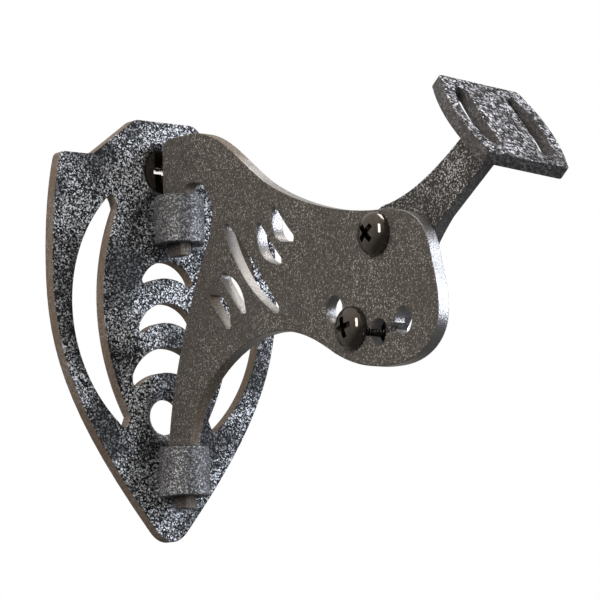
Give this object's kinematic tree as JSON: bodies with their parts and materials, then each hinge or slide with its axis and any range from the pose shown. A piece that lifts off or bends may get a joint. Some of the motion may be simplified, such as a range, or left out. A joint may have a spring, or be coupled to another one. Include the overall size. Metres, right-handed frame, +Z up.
{
  "type": "wall guitar hanger",
  "caption": "Steel wall hanger for a guitar: shield-shaped wall plate, lift-off swing arm on hinge barrels, and a tilting neck bracket that ends in a slotted strap plate.",
  "frame": {"origin": "on the wall face of the wall plate, on its middle line, midway between the two wall screw holes", "axes": "+Y into the wall, -Y the way the arm reaches out, +Z up, +X to the right when facing the wall"},
  "size_m": [0.0818, 0.1968, 0.1255],
  "materials": {
    "vein_coat": "black and silver vein powder coat, textured",
    "black_screw": "glossy black",
    "zinc": "bright zinc plate",
    "nylon": "satin"
  },
  "bodies": {
    "base": {"wall_plate": "vein_coat", "upper_barrel": "vein_coat", "upper_weld_left": "vein_coat", "upper_weld_right": "vein_coat", "lower_barrel": "vein_coat", "lower_weld_left": "vein_coat", "lower_weld_right": "vein_coat", "wall_screw": "black_screw"},
    "arm": {"swing_arm": "vein_coat", "pivot_screw": "black_screw", "pivot_washer": "zinc", "pivot_nut": "zinc", "pivot_nut_insert": "nylon", "lock_screw": "black_screw", "lock_washer": "zinc", "lock_nut": "zinc", "lock_nut_insert": "nylon"},
    "bracket": {"neck_bracket": "vein_coat", "head_plate": "vein_coat", "head_weld_left": "vein_coat", "head_weld_right": "vein_coat"}
  },
  "joints": [
    {"name": "arm_swing", "type": "hinge", "parent": "base", "child": "arm", "pos_m": [0, -0.0106, 0], "axis": [0, 0, 1], "range_deg": [-80, 80]},
    {"name": "bracket_tilt", "type": "hinge", "parent": "arm", "child": "bracket", "pos_m": [0, -0.105, 0.0036], "axis": [1, 0, 0], "range_deg": [-11, 11]}
  ]
}
